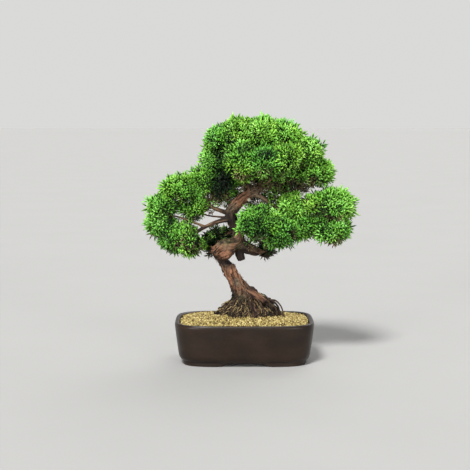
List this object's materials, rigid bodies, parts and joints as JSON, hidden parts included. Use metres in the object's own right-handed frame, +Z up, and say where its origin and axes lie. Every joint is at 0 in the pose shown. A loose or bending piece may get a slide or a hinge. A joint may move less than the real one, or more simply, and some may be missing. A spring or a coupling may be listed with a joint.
{
  "type": "kishu juniper bonsai",
  "caption": "Juniper bonsai with a bent old trunk and rounded clouds of scale foliage, planted in an oblong clay pot filled with fired-clay granules.",
  "frame": {"origin": "middle of the whole plant's footprint, on the plane that the pot's feet stand on", "axes": "+Z up, +X to the right of the front view, +Y from the front to the back"},
  "size_m": [0.4556, 0.2076, 0.5259],
  "materials": {
    "clay": "satin",
    "screen": "matte",
    "wire": "satin",
    "bark": "matte",
    "granules": "matte",
    "foliage": "matte"
  },
  "bodies": {
    "root": {"pot": "clay", "drain_mesh_left": "screen", "drain_mesh_right": "screen", "wire_clip_left": "wire", "wire_clip_right": "wire", "trunk": "bark", "soil": "granules", "foliage_crown_top": "foliage", "foliage_crown_left": "foliage", "foliage_crown_right": "foliage", "foliage_crown_front": "foliage", "foliage_crown_back": "foliage", "foliage_crown_low": "foliage", "foliage_left_high": "foliage", "foliage_left_outer": "foliage", "foliage_left_low": "foliage", "foliage_left_inner": "foliage", "foliage_back_low": "foliage", "foliage_right_front": "foliage", "foliage_right_inner": "foliage", "foliage_right_outer": "foliage", "foliage_right_low": "foliage"}
  },
  "joints": []
}
